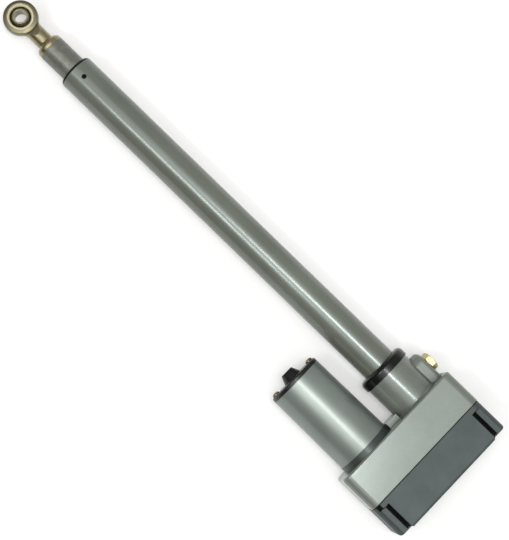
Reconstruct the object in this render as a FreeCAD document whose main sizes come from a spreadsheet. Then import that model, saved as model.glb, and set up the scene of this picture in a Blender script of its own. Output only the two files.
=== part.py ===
import FreeCAD, Part
import math
import os
from types import SimpleNamespace

import Sketcher
from FreeCAD import Placement, Rotation, Vector

# A linear actuator that swings a satellite dish: a motor beside a lead screw, joined by a gear case.
# X runs along the tube towards the rod end, the motor is on +Y, and Z is up as the part lies on a bench.
# The origin is on the tube's axis, at the shoulder where the bare tube starts. Lengths are millimetres.

# Driving sizes, one sheet cell each
SIZES = {
    # telescopic tubes
    "tube_od": 38.1,
    "tube_wall": 2.5,
    "guide_wall": 2.2,
    "rod_wall": 2.9,
    "stroke": 304.8,
    "tube_reserve": 122.2,
    "rod_stickout": 35.0,
    "seat_step": 0.5,
    "tube_seat": 30.0,
    # clearances
    "run_fit": 0.05,
    "loose_fit": 0.3,
    "end_play": 0.1,
    "spin_gap": 1.5,
    # collar and boss round the tube's root
    "collar_wall": 8.45,
    "collar_len": 11.2,
    "collar_round": 5.0,
    "collar_gap": 0.5,
    "boss_wall": 6.95,
    "boss_len": 39.9,
    "boss_root": 1.5,
    "rib_len": 6.5,
    "rib_half_height": 12.0,
    # lug and bolt that lock the tube
    "lug_rise": 9.5,
    "lug_half_width": 12.0,
    "lug_inset": 6.6,
    "lug_round": 4.5,
    "lock_bolt_inset": 16.5,
    "lock_bolt_d": 10.0,
    "lock_bolt_flats": 17.0,
    "lock_bolt_head": 6.4,
    # bush, seal and grub screw at the tube's mouth
    "guide_bush_len": 30.0,
    "grub_inset": 12.5,
    "grub_d": 5.0,
    "grub_bite": 1.5,
    "grub_sink": 0.65,
    "seal_seat": 6.0,
    "seal_lip": 2.7,
    "seal_bevel": 1.2,
    "seal_inset": 0.85,
    # rod end with its spherical bearing
    "plug_len": 20.0,
    "rod_collar_len": 2.8,
    "rod_collar_inset": 0.1,
    "neck_d": 18.0,
    "flare_radius": 8.0,
    "eye_reach": 44.6,
    "eye_od": 36.5,
    "eye_width": 12.5,
    "eye_crown": 0.8,
    "eye_run_out": 9.4,
    "race_od": 27.0,
    "race_inset": 0.75,
    "race_chamfer": 1.2,
    "race_flare": 0.6,
    "ball_d": 22.2,
    "ball_width": 16.0,
    "pin_bore": 12.7,
    # lead screw and nut
    "screw_d": 15.875,
    "journal_d": 12.0,
    "tail_d": 8.0,
    "tip_d": 10.0,
    "tip_len": 5.0,
    "tip_reserve": 8.0,
    "nut_gap": 2.2,
    "nut_flange": 14.0,
    "nut_spigot": 26.0,
    "screw_bush_wall": 5.0,
    "rear_bush_wall": 3.0,
    "rear_bush_flange": 2.0,
    "spacer_wall": 3.0,
    "thrust_washer": 1.8,
    # gear train
    "fine_module": 1.0,
    "coarse_module": 1.5,
    "motor_teeth": 12,
    "idler_teeth": 53,
    "pinion_teeth": 14,
    "drive_teeth": 36,
    "fine_shift": 0.3,
    "coarse_shift": 0.2,
    "backlash": 0.16,
    "fine_face": 8.0,
    "coarse_face": 12.0,
    "axle_d": 8.0,
    "axle_floor": 1.5,
    "washer_thick": 1.2,
    "washer_wall": 4.0,
    # gear case
    "front_wall": 5.0,
    "side_wall": 3.5,
    "gear_room": 1.3,
    "end_room": 7.3,
    "motor_ledge": 9.3,
    "case_round": 8.8,
    "case_edge": 2.5,
    "flat_margin": 1.0,
    "plate_thick": 3.0,
    "plate_setback": 8.2,
    "plate_screw_d": 3.0,
    "plate_screw_len": 8.0,
    "plate_screw_head": 2.0,
    "ledge_half": 14.0,
    "pillar_d": 8.0,
    "pillar_reach": 14.0,
    "pillar_half_span": 22.0,
    # rear cover
    "gasket_thick": 0.8,
    "cover_inset": 0.5,
    "cover_wall": 3.0,
    "cover_room": 9.5,
    "cover_edge": 3.0,
    "flange_len": 5.4,
    "ear_thick": 10.3,
    "ear_short": 2.0,
    "ear_round": 3.5,
    "ear_sink": 1.0,
    "slot_width": 4.6,
    "slot_depth": 13.0,
    "slot_web": 1.5,
    "channel_d": 8.4,
    "post_d": 9.0,
    "cover_screw_d": 4.0,
    "cover_screw_len": 18.0,
    "cover_screw_head": 2.6,
    "cover_screw_head_d": 7.0,
    "notch_width": 4.5,
    "notch_inset": 3.3,
    "notch_depth": 8.0,
    "grommet_d": 12.0,
    "grommet_lip": 2.5,
    "grommet_thick": 2.0,
    "grommet_from_motor": 2.0,
    # motor
    "can_od": 61.0,
    "can_draft": 0.7,
    "can_wall": 3.2,
    "can_len": 92.8,
    "bell_lip": 0.5,
    "bell_thick": 6.8,
    "pilot_d": 26.0,
    "cap_thick": 4.4,
    "cap_bevel": 1.2,
    "cap_spigot": 1.6,
    "cone_base_d": 21.8,
    "cone_top_d": 13.7,
    "cone_len": 9.2,
    "cap_bore_floor": 4.4,
    "motor_bolt_inset": 3.8,
    "motor_bolt_d": 5.0,
    "motor_bolt_head_d": 8.0,
    "motor_bolt_head": 3.0,
    "shaft_d": 6.0,
    "shaft_bush_wall": 3.0,
    "magnet_thick": 5.5,
    "magnet_angle": 110.0,
    "magnet_overhang": 6.0,
    "air_gap": 0.8,
    "core_from_bell": 18.0,
    "core_slots": 12,
    "slot_opening": 3.0,
    "core_slot_depth": 8.0,
    "winding_len": 7.0,
    "winding_inset": 2.7,
    "commutator_d": 18.0,
    "commutator_len": 15.0,
    "brush_plate_thick": 3.0,
    "brush_width": 8.0,
    "brush_len": 12.0,
    "brush_height": 11.0,
    # limit switches, terminals and pulse sensor behind the bearing plate
    "worm_d": 12.0,
    "worm_len": 16.0,
    "cam_d": 32.0,
    "cam_half_thick": 3.0,
    "cam_track": 4.0,
    "cam_track_inset": 3.0,
    "lobe_d": 5.0,
    "cam_axle_d": 6.0,
    "cam_hub_wall": 3.0,
    "mesh_gap": 0.4,
    "bracket_thick": 2.0,
    "bracket_foot": 14.0,
    "bracket_start": 14.0,
    "bracket_len": 64.0,
    "switch_len": 12.8,
    "switch_depth": 6.5,
    "switch_height": 16.0,
    "switch_gap": 2.0,
    "terminal_len": 28.0,
    "terminal_depth": 12.0,
    "terminal_height": 14.0,
    "terminal_count": 4,
    "terminal_bore": 4.4,
    "magnet_wheel_d": 20.0,
    "magnet_wheel_thick": 4.0,
    "board_gap": 4.0,
    "board_thick": 2.0,
    "board_half_width": 7.0,
}

PRESSURE_ANGLE = math.radians(20)
FLANK_POINTS = 4

doc = FreeCAD.newDocument("dish_actuator")
sub_parts = []


class Size:
    """A length with its number and the sheet expression that the number comes from."""

    def __init__(self, value, text):
        self.value = value
        self.text = text

    def __neg__(self):
        return Size(-self.value, f"(-{self.text})")

    def __add__(self, other):
        return Size(self.value + number(other), f"({self.text} + {words(other)})")

    def __sub__(self, other):
        return Size(self.value - number(other), f"({self.text} - {words(other)})")

    def __mul__(self, other):
        return Size(self.value * number(other), f"({self.text} * {words(other)})")

    def __truediv__(self, other):
        return Size(self.value / number(other), f"({self.text} / {words(other)})")


def number(size):
    return size.value if isinstance(size, Size) else size


def words(size):
    return size.text if isinstance(size, Size) else str(size)


def root(size):
    return Size(math.sqrt(size.value), f"sqrt({size.text})")


def larger(one, other):
    return Size(max(one.value, other.value), f"max({one.text}; {other.text})")


def free(size):
    """A coordinate that an arc settles, so the sketch doesn't fix it again."""
    return Size(number(size), None)


def write_sheet():
    """Put every driving size in the sheet and give it back as a Size."""
    sheet = doc.addObject("Spreadsheet::Sheet", "Sizes")
    named = {}
    for row, (alias, value) in enumerate(SIZES.items(), start=1):
        sheet.set(f"A{row}", alias)
        sheet.set(f"B{row}", str(value))
        sheet.setAlias(f"B{row}", alias)
        named[alias] = Size(value, f"Sizes.{alias}")
    doc.recompute()
    return SimpleNamespace(**named)


d = write_sheet()


# Sketch and feature helpers

def plane_of(body, role):
    return next(f for f in body.Origin.OriginFeatures if f.Role == role)


def sketch_on(body, name, role, lift=None):
    """An empty sketch on one of the body's own planes, raised along the plane's normal."""
    sketch = body.newObject("Sketcher::SketchObject", name)
    sketch.AttachmentSupport = (plane_of(body, role), [""])
    sketch.MapMode = "FlatFace"
    if lift is not None:
        sketch.setExpression("AttachmentOffset.Base.z", lift.text)
    return sketch


def pin_point(sketch, edge, end, point):
    """Fix a sketch point: 0 puts it on an axis, and a Size binds it to the sheet."""
    for kind, axis, size in (("DistanceX", -2, point[0]), ("DistanceY", -1, point[1])):
        if not isinstance(size, Size):
            sketch.addConstraint(Sketcher.Constraint("PointOnObject", edge, end, axis))
        elif size.text is not None:
            rule = Sketcher.Constraint(kind, -1, 1, edge, end, size.value)
            index = sketch.addConstraint(rule)
            sketch.setExpression(f"Constraints[{index}]", size.text)


def flat(point):
    return Vector(number(point[0]), number(point[1]), 0)


def arc_edge(start, end, centre, anticlockwise):
    """An arc between two corners, and which of its ends is at each corner."""
    middle = flat(centre)
    first, last = (start, end) if anticlockwise else (end, start)
    spokes = [flat(first) - middle, flat(last) - middle]
    angles = [math.atan2(spoke.y, spoke.x) for spoke in spokes]
    circle = Part.Circle(middle, Vector(0, 0, 1), spokes[0].Length)
    return Part.ArcOfCircle(circle, *angles), (1, 2) if anticlockwise else (2, 1)


def add_loop(sketch, corners, arcs=None):
    """A closed outline through the corners. arcs gives {edge: (centre x, centre y, anticlockwise)}."""
    arcs = arcs or {}
    first = sketch.GeometryCount
    count = len(corners)
    ends = []
    for i, corner in enumerate(corners):
        following = corners[(i + 1) % count]
        if i in arcs:
            edge, order = arc_edge(corner, following, arcs[i][:2], arcs[i][2])
        else:
            edge, order = Part.LineSegment(flat(corner), flat(following)), (1, 2)
        sketch.addGeometry(edge)
        ends.append(order)
    for i, corner in enumerate(corners):
        after = (i + 1) % count
        joined = (first + i, ends[i][1], first + after, ends[after][0])
        sketch.addConstraint(Sketcher.Constraint("Coincident", *joined))
        pin_point(sketch, first + i, ends[i][0], corner)
        if i in arcs:
            pin_point(sketch, first + i, 3, arcs[i][:2])


def add_circle(sketch, x, y, radius):
    edge = sketch.GeometryCount
    sketch.addGeometry(Part.Circle(flat((x, y)), Vector(0, 0, 1), radius.value))
    pin_point(sketch, edge, 3, (x, y))
    index = sketch.addConstraint(Sketcher.Constraint("Radius", edge, radius.value))
    sketch.setExpression(f"Constraints[{index}]", radius.text)


def add_rectangle(sketch, low, high):
    add_loop(sketch, [low, (high[0], low[1]), high, (low[0], high[1])])


def add_rounded_rectangle(sketch, low, high, radius):
    left, bottom = low
    right, top = high
    corners = [
        (left + radius, bottom),
        (right - radius, bottom),
        (free(right), bottom + radius),
        (right, top - radius),
        (right - radius, free(top)),
        (left + radius, top),
        (free(left), top - radius),
        (left, bottom + radius),
    ]
    corners[0] = (left + radius, free(bottom))
    arcs = {
        1: (right - radius, bottom + radius, True),
        3: (right - radius, top - radius, True),
        5: (left + radius, top - radius, True),
        7: (left + radius, bottom + radius, True),
    }
    add_loop(sketch, corners, arcs)


def new_body(label, listed=True):
    body = doc.addObject("PartDesign::Body", label)
    body.Label = label
    if listed:
        sub_parts.append(body)
    return body


def place(obj, at, rotation=None):
    """Place an object, with each coordinate bound to the sheet where it has a Size."""
    obj.Placement = Placement(Vector(*[number(c) for c in at]), rotation or Rotation())
    for axis, size in zip("xyz", at):
        if isinstance(size, Size):
            obj.setExpression(f"Placement.Base.{axis}", size.text)


def pad(body, name, sketch, length, backwards=False):
    feature = body.newObject("PartDesign::Pad", name)
    feature.Profile = sketch
    feature.Reversed = backwards
    feature.setExpression("Length", length.text)


def check_cut(body, name, before):
    doc.recompute()
    if not body.Shape.Volume < before:
        raise ValueError(f"{name} cuts nothing from {body.Label}")


def pocket(body, name, sketch, length, backwards=False):
    """Cut against the sketch's normal, or along it where backwards."""
    doc.recompute()
    before = body.Shape.Volume
    feature = body.newObject("PartDesign::Pocket", name)
    feature.Profile = sketch
    feature.Reversed = backwards
    feature.setExpression("Length", length.text)
    check_cut(body, name, before)
    return feature


def revolve(body, name, sketch):
    feature = body.newObject("PartDesign::Revolution", name)
    feature.Profile = sketch
    feature.ReferenceAxis = (sketch, ["H_Axis"])
    feature.Angle = 360


def groove(body, name, sketch, axis="H_Axis"):
    doc.recompute()
    before = body.Shape.Volume
    feature = body.newObject("PartDesign::Groove", name)
    feature.Profile = sketch
    feature.ReferenceAxis = (sketch, [axis])
    feature.Angle = 360
    check_cut(body, name, before)


def fillet_where(body, name, radius, chosen):
    """Round the edges of the body whose bounding box the test picks."""
    doc.recompute()
    base = body.Tip
    edges = enumerate(base.Shape.Edges, start=1)
    names = [f"Edge{i}" for i, edge in edges if chosen(edge.BoundBox)]
    feature = body.newObject("PartDesign::Fillet", name)
    feature.Base = (base, names)
    feature.setExpression("Radius", radius.text)


def at_x(x):
    """A test for edges that lie in the plane at this x."""
    return lambda box: abs(box.XMin - x.value) < 1e-4 and abs(box.XMax - x.value) < 1e-4


ALONG_X = Rotation()
ALONG_Z = Rotation(Vector(0, 1, 0), -90)
ALONG_MINUS_Y = Rotation(Vector(0, 0, 1), -90)


def turned(label, corners, arcs=None, at=(0, 0, 0), axis=ALONG_X, listed=True):
    """A round piece: a profile of (place along the axis, radius) turned about its axis."""
    body = new_body(label, listed)
    sketch = sketch_on(body, f"{label}_profile", "XY_Plane")
    add_loop(sketch, corners, arcs)
    revolve(body, f"{label}_turned", sketch)
    place(body, at, axis)
    return body


def ring(label, back, front, inner, outer, at=(0, 0, 0), axis=ALONG_X, listed=True):
    """A plain sleeve, washer or disc with a bore."""
    corners = [(back, inner), (front, inner), (front, outer), (back, outer)]
    return turned(label, corners, at=at, axis=axis, listed=listed)


def rod(label, back, front, radius, at=(0, 0, 0), axis=ALONG_X, listed=True):
    """A plain solid pin."""
    corners = [(back, 0), (front, 0), (front, radius), (back, radius)]
    return turned(label, corners, at=at, axis=axis, listed=listed)


def box(label, corner, extent):
    piece = doc.addObject("Part::Box", label)
    for name, size in zip(("Length", "Width", "Height"), extent):
        piece.setExpression(name, size.text)
    place(piece, corner)
    return piece


def grouped(label, pieces):
    """One node of several like pieces, each still a solid of its own."""
    group = doc.addObject("Part::Compound", label)
    group.Label = label
    group.Links = pieces
    sub_parts.append(group)


def fused(label, base, tool, listed=True):
    union = doc.addObject("Part::Fuse", label)
    union.Label = label
    union.Base = base
    union.Tool = tool
    if listed:
        sub_parts.append(union)
    return union


# Radii and stations along the tube, from the mouth back to the case

tube_r = d.tube_od / 2
seat_r = tube_r - d.seat_step
tube_in_r = tube_r - d.tube_wall
rod_r = tube_in_r - d.guide_wall - d.run_fit
rod_in_r = rod_r - d.rod_wall
collar_r = tube_r + d.collar_wall
boss_r = tube_r + d.boss_wall
screw_r = d.screw_d / 2
journal_r = d.journal_d / 2
tail_r = d.tail_d / 2

mouth = d.stroke + d.tube_reserve
rod_front = mouth + d.rod_stickout
boss_front = -d.collar_len
face = boss_front - d.boss_len
tube_rear = boss_front - d.tube_seat
washer_front = tube_rear + d.thrust_washer
nut_rear = washer_front + d.nut_gap
rod_rear = nut_rear + d.nut_flange
nut_front = rod_rear + d.nut_spigot
screw_tip = nut_front + d.stroke + d.tip_reserve + d.tip_len

# Stations through the gear case and the cover
wall_in = face - d.front_wall
fine_front = wall_in - d.spin_gap
fine_rear = fine_front - d.fine_face
coarse_front = fine_rear - d.spin_gap
coarse_rear = coarse_front - d.coarse_face
plate_front = coarse_rear - d.spin_gap
plate_rear = plate_front - d.plate_thick
joint = plate_rear - d.plate_setback
cover_front = joint - d.gasket_thick
flange_rear = cover_front - d.flange_len

# Gear train: motor and drive pinions each mesh with a wheel, all on one line along Y
fine_centres = d.fine_module * (d.motor_teeth + d.idler_teeth) / 2
coarse_centres = d.coarse_module * (d.pinion_teeth + d.drive_teeth) / 2
idler_y = coarse_centres
motor_y = fine_centres + coarse_centres
idler_tip = d.fine_module * (d.idler_teeth / 2 - d.fine_shift + 1)
drive_tip = d.coarse_module * (d.drive_teeth / 2 - d.coarse_shift + 1)
gear_tip = larger(idler_tip, drive_tip)
axle_r = d.axle_d / 2

# Case outline
can_r = d.can_od / 2
bell_r = can_r + d.bell_lip
lug_top = boss_r + d.lug_rise
edge_room = d.case_edge + d.flat_margin
raised = larger(bell_r, boss_r + d.boss_root)
half_depth = larger(gear_tip + d.gear_room + d.side_wall, raised + d.flat_margin)
case_low = -larger(gear_tip + d.gear_room + d.end_room + d.side_wall, lug_top + edge_room)
case_high = motor_y + bell_r + d.motor_ledge
cavity_half = half_depth - d.side_wall
cavity_low = case_low + d.side_wall
cavity_high = case_high - d.side_wall
cavity_round = d.case_round - d.side_wall
lug_front = boss_front - d.lug_inset
lock_bolt_x = lug_front - d.lock_bolt_inset
lock_bolt_r = d.lock_bolt_d / 2
screw_bush_r = journal_r + d.screw_bush_wall

# Cover outline, with a screw channel behind each corner
cover_low = case_low + d.cover_inset
cover_high = case_high - d.cover_inset
slot_half = d.slot_width / 2
channel_r = d.channel_d / 2
channel_z = half_depth - d.slot_depth
low_channel = cover_low + d.ear_thick + slot_half
high_channel = cover_high - d.ear_thick - slot_half
low_block = low_channel + slot_half
high_block = high_channel - slot_half
screw_places = [
    (low_channel, channel_z),
    (low_channel, -channel_z),
    (high_channel, channel_z),
    (high_channel, -channel_z),
]
bay_low = low_channel + channel_r + d.cover_wall
bay_high = high_channel - channel_r - d.cover_wall
bay_half = half_depth - d.cover_wall
grommet_y = motor_y - d.grommet_from_motor

# Bearing plate fixings: two on the low ledge, two on pillars beside the motor
pillar_y = motor_y + d.pillar_reach
ledge_y = cavity_low + (d.end_room / 2)
ledge_screw_z = d.ledge_half - d.plate_screw_d - d.run_fit
plate_fixings = [
    (ledge_y, ledge_screw_z),
    (ledge_y, -ledge_screw_z),
    (pillar_y, d.pillar_half_span),
    (pillar_y, -d.pillar_half_span),
]

# Limit cam behind the plate, driven by a worm on the screw's tail
cam_r = d.cam_d / 2
worm_r = d.worm_d / 2
cam_x = plate_rear - d.bracket_thick - d.spin_gap - cam_r
cam_y = worm_r + d.mesh_gap + cam_r
worm_back = cam_x - d.worm_len / 2
worm_front = cam_x + d.worm_len / 2
magnet_wheel_front = cam_x - cam_r - d.spin_gap
tail_end = magnet_wheel_front - d.magnet_wheel_thick
cam_track_r = cam_r - d.cam_track_inset
lobe_x = (d.switch_len + d.switch_gap) / 2
lobe_y = root(cam_track_r * cam_track_r - lobe_x * lobe_x)
cover_rear = cam_x - cam_r - d.cover_room - d.cover_wall
cover_depth = cover_front - cover_rear

# Motor stations
bell_rear = face + d.bell_thick
can_rear = bell_rear + d.can_len
cap_rear = can_rear + d.cap_thick
cone_top = cap_rear + d.cone_len
can_in_r = can_r - d.can_wall
cap_r = can_r - d.can_draft
spigot_front = can_rear - d.cap_spigot
pilot_r = d.pilot_d / 2
shaft_r = d.shaft_d / 2
shaft_bush_r = shaft_r + d.shaft_bush_wall
cap_bore_end = cone_top - d.cap_bore_floor
motor_bolt_r = d.motor_bolt_d / 2
motor_bolt_y = can_in_r - d.motor_bolt_inset
brush_plate_front = spigot_front - d.brush_plate_thick
commutator_rear = brush_plate_front - d.end_play
commutator_front = commutator_rear - d.commutator_len
core_front = bell_rear + d.core_from_bell
core_rear = commutator_front - d.air_gap - d.winding_len
core_len = core_rear - core_front
core_r = can_in_r - d.magnet_thick - d.air_gap
on_motor_axis = (0, motor_y, 0)
on_idler_axis = (0, idler_y, 0)


# Telescopic tubes and what closes the mouth

def make_outer_tube():
    """The tube that the dish clamp grips, stepped down a little where it enters the collar."""
    corners = [
        (tube_rear, tube_in_r),
        (mouth, tube_in_r),
        (mouth, tube_r),
        (0, tube_r),
        (0, seat_r),
        (tube_rear, seat_r),
    ]
    body = turned("outer_tube", corners)
    hole = sketch_on(body, "grub_hole", "XY_Plane")
    add_circle(hole, mouth - d.grub_inset, 0, d.grub_d / 2)
    pocket(body, "grub_hole_cut", hole, d.tube_od, backwards=True)


def make_tube_collar():
    """A rubber ring with a rounded front edge, against the end of the boss."""
    front = -d.collar_gap
    shoulder = collar_r - d.collar_round
    corners = [
        (boss_front, seat_r),
        (front, seat_r),
        (front, shoulder),
        (front - d.collar_round, free(collar_r)),
        (boss_front, collar_r),
    ]
    turned("tube_collar", corners, {2: (front - d.collar_round, shoulder, True)})


def make_guide_bush():
    """The bearing sleeve that the rod slides in, held by a grub screw through the tube."""
    front = mouth - d.seal_seat
    body = ring("guide_bush", front - d.guide_bush_len, front, rod_r + d.run_fit, tube_in_r)
    hole = sketch_on(body, "grub_seat", "XY_Plane", lift=tube_in_r)
    add_circle(hole, mouth - d.grub_inset, 0, d.grub_d / 2)
    pocket(body, "grub_seat_cut", hole, d.grub_bite)
    screw_at = (mouth - d.grub_inset, 0, 0)
    low = tube_in_r - d.grub_bite
    rod("bush_grub_screw", low, tube_r - d.grub_sink, d.grub_d / 2, at=screw_at, axis=ALONG_Z)


def make_wiper_seal():
    """A lipped ring on the mouth: its spigot is inside the tube, and only the lip reaches the rod."""
    outside = tube_r - d.seal_inset
    lip = mouth + d.seal_lip
    corners = [
        (mouth - d.seal_seat, rod_r + d.loose_fit),
        (lip - d.seal_bevel, rod_r + d.loose_fit),
        (lip, rod_r + d.run_fit),
        (lip, outside - d.seal_bevel),
        (lip - d.seal_bevel, outside),
        (mouth, outside),
        (mouth, tube_in_r),
        (mouth - d.seal_seat, tube_in_r),
    ]
    turned("wiper_seal", corners)


def make_rod():
    """The sliding tube with its lead nut, which also runs in the outer tube's bore."""
    ring("inner_tube", rod_rear, rod_front, rod_in_r, rod_r)
    nut_bore = screw_r + d.run_fit
    corners = [
        (nut_rear, nut_bore),
        (nut_front, nut_bore),
        (nut_front, rod_in_r),
        (rod_rear, rod_in_r),
        (rod_rear, tube_in_r - d.run_fit),
        (nut_rear, tube_in_r - d.run_fit),
    ]
    turned("lead_nut", corners)


# Rod end: a forged eye on a waisted neck, with a race and ball

eye_x = rod_front + d.eye_reach
eye_r = d.eye_od / 2
eye_half = d.eye_width / 2
race_r = d.race_od / 2
ball_r = d.ball_d / 2


def make_rod_end():
    """Turned as one form with a crowned eye, then faced on both sides and bored for the race."""
    neck_r = d.neck_d / 2
    shoulder_r = rod_r - d.rod_collar_inset
    round_start = rod_front + d.rod_collar_len
    collar_round = shoulder_r - neck_r
    flare_y = neck_r + d.flare_radius
    reach = eye_r + d.flare_radius
    flare_run = root(reach * reach - flare_y * flare_y)
    flare_x = eye_x - flare_run
    tangent = eye_r / reach
    corners = [
        (rod_front - d.plug_len, 0),
        (rod_front - d.plug_len, rod_in_r),
        (rod_front, rod_in_r),
        (rod_front, shoulder_r),
        (round_start, shoulder_r),
        (free(round_start + collar_round), neck_r),
        (flare_x, neck_r),
        (eye_x - flare_run * tangent, free(flare_y * tangent)),
        (free(eye_x + eye_r), 0),
    ]
    arcs = {
        4: (round_start, neck_r, False),
        6: (flare_x, flare_y, True),
        7: (eye_x, 0, False),
    }
    body = turned("rod_end", corners, arcs)

    clear = eye_r + d.spin_gap
    edge_half = eye_half - d.eye_crown
    edge_r = root(eye_r * eye_r - edge_half * edge_half) + d.loose_fit
    run_out_r = edge_r + d.eye_run_out
    run_out_top = eye_half + (neck_r - eye_half) * 1.2
    flats = sketch_on(body, "eye_flats", "XZ_Plane")
    flats.setExpression("AttachmentOffset.Base.x", eye_x.text)
    for side in (1, -1):
        profile = [
            (0, eye_half * side),
            (race_r, eye_half * side),
            (edge_r, edge_half * side),
            (run_out_r, run_out_top * side),
            (run_out_r, clear * side),
            (0, clear * side),
        ]
        add_loop(flats, profile)
    groove(body, "eye_flats_cut", flats, axis="V_Axis")

    bore = sketch_on(body, "race_bore", "XY_Plane", lift=eye_half)
    add_circle(bore, eye_x, 0, race_r)
    pocket(body, "race_bore_cut", bore, d.eye_width)


def make_rod_end_bearing():
    """The race swaged into the eye and the bored ball that swivels in it."""
    socket_r = ball_r + d.run_fit
    race_half = eye_half - d.race_inset
    groove_half = race_half - d.race_chamfer
    groove_r = root(socket_r * socket_r - groove_half * groove_half)
    at = (eye_x, 0, 0)
    corners = [
        (-race_half, race_r),
        (-race_half, groove_r + d.race_flare),
        (-groove_half, groove_r),
        (groove_half, free(groove_r)),
        (race_half, groove_r + d.race_flare),
        (race_half, race_r),
    ]
    turned("rod_end_race", corners, {2: (0, 0, False)}, at=at, axis=ALONG_Z)
    ball_half = d.ball_width / 2
    ball_edge = root(ball_r * ball_r - ball_half * ball_half)
    pin_r = d.pin_bore / 2
    corners = [
        (-ball_half, pin_r),
        (-ball_half, ball_edge),
        (ball_half, free(ball_edge)),
        (ball_half, pin_r),
    ]
    turned("rod_end_ball", corners, {1: (0, 0, False)}, at=at, axis=ALONG_Z)


# Lead screw and the pieces that turn with it or carry it

def make_lead_screw():
    shoulder = washer_front + d.end_play
    tail_front = plate_rear - d.rear_bush_flange - d.end_play
    tip_r = d.tip_d / 2
    corners = [
        (tail_end, 0),
        (screw_tip, 0),
        (screw_tip, tip_r),
        (screw_tip - d.tip_len, tip_r),
        (screw_tip - d.tip_len, screw_r),
        (shoulder, screw_r),
        (shoulder, journal_r),
        (tail_front, journal_r),
        (tail_front, tail_r),
        (tail_end, tail_r),
    ]
    turned("lead_screw", corners)
    ring("screw_stop_disc", screw_tip - d.tip_len, screw_tip, tip_r, rod_in_r - d.loose_fit)
    spacer_r = journal_r + d.spacer_wall
    ring("gear_spacer", coarse_front, wall_in - d.end_play, journal_r, spacer_r)
    ring("limit_worm", worm_back, worm_front, tail_r, worm_r)
    ring("magnet_wheel", tail_end, magnet_wheel_front, tail_r, d.magnet_wheel_d / 2)


def make_screw_bearings():
    running = journal_r + d.run_fit
    ring("screw_front_bush", wall_in, tube_rear, running, screw_bush_r)
    ring("screw_thrust_washer", tube_rear, washer_front, running, screw_bush_r)
    outside = journal_r + d.rear_bush_wall
    flange_r = outside + d.rear_bush_flange
    corners = [
        (plate_rear - d.rear_bush_flange, running),
        (plate_front, running),
        (plate_front, outside),
        (plate_rear, outside),
        (plate_rear, flange_r),
        (plate_rear - d.rear_bush_flange, flange_r),
    ]
    turned("screw_rear_bush", corners)


# Gears: involute flanks, worked out tooth by tooth

def involute(angle):
    return math.tan(angle) - angle


def gear_profile(teeth, module, shift, first_tooth):
    """The outline of a spur gear in the YZ plane, as a face. first_tooth is where one tooth points."""
    pitch_r = module * teeth / 2
    base_r = pitch_r * math.cos(PRESSURE_ANGLE)
    tip_r = pitch_r + module * (1 + shift)
    root_r = pitch_r - module * (1.25 - shift)
    thickness = module * (math.pi / 2 + 2 * shift * math.tan(PRESSURE_ANGLE)) - d.backlash.value / 2
    half_at_base = thickness / (2 * pitch_r) + involute(PRESSURE_ANGLE)
    low_r = max(base_r, root_r)
    flank = []
    for i in range(FLANK_POINTS):
        radius = low_r + (tip_r - low_r) * i / (FLANK_POINTS - 1)
        half = half_at_base - involute(math.acos(min(1.0, base_r / radius)))
        flank.append((radius, half))
    if root_r < low_r:
        flank.insert(0, (root_r, half_at_base))
    points = []
    for tooth in range(teeth):
        middle = first_tooth + 2 * math.pi * tooth / teeth
        rising = [(radius, middle - half) for radius, half in flank]
        falling = [(radius, middle + half) for radius, half in reversed(flank)]
        points += [Vector(0, r * math.cos(a), r * math.sin(a)) for r, a in rising + falling]
    return Part.Face(Part.makePolygon(points + points[:1]))


def gear_blank(teeth, module, shift, first_tooth, back, front):
    """A toothed blank from back to front along X."""
    face_of_gear = gear_profile(round(teeth.value), module.value, shift.value, first_tooth)
    blank = face_of_gear.extrude(Vector(front.value - back.value, 0, 0))
    blank.translate(Vector(back.value, 0, 0))
    return blank


def bored(blank, radius, back, front):
    length = front.value - back.value
    return blank.cut(Part.makeCylinder(radius.value, length, Vector(back.value, 0, 0), Vector(1, 0, 0)))


def gear_part(label, shape, at):
    piece = doc.addObject("Part::Feature", label)
    piece.Label = label
    piece.Shape = shape
    place(piece, at)
    sub_parts.append(piece)


def facing_gap(teeth):
    """The first tooth's place that puts a gap on the -Y side, where the other gear's tooth points."""
    return math.pi + math.pi / round(teeth.value)


def make_gears():
    pinion = gear_blank(
        d.motor_teeth, d.fine_module, d.fine_shift, facing_gap(d.motor_teeth), fine_rear, fine_front
    )
    gear_part("motor_pinion", bored(pinion, shaft_r, fine_rear, fine_front), on_motor_axis)

    wheel = gear_blank(d.idler_teeth, d.fine_module, -d.fine_shift, 0, fine_rear, fine_front)
    small = gear_blank(
        d.pinion_teeth, d.coarse_module, d.coarse_shift, facing_gap(d.pinion_teeth), coarse_rear, fine_rear
    )
    cluster = bored(wheel.fuse(small), axle_r + d.run_fit, coarse_rear, fine_front)
    gear_part("idler_gear", cluster, on_idler_axis)

    drive = gear_blank(d.drive_teeth, d.coarse_module, -d.coarse_shift, 0, coarse_rear, coarse_front)
    gear_part("drive_gear", bored(drive, journal_r, coarse_rear, coarse_front), (0, 0, 0))


def make_idler_axle():
    rod("idler_axle", plate_rear, face - d.axle_floor, axle_r, at=on_idler_axis)
    outside = axle_r + d.washer_wall
    pieces = []
    for name, back in (("front", wall_in - d.washer_thick), ("rear", plate_front)):
        label = f"idler_washer_{name}"
        front = back + d.washer_thick
        pieces.append(ring(label, back, front, axle_r, outside, at=on_idler_axis, listed=False))
    grouped("idler_washers", pieces)


# Gear case

def on_lug_rim(box):
    """A test for the edges round the lug's top, without the corner where it meets the case."""
    level = -lug_top.value
    on_top = abs(box.YMin - level) < 1e-4 and abs(box.YMax - level) < 1e-4
    return on_top and box.XMax > face.value + 1e-4


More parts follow.
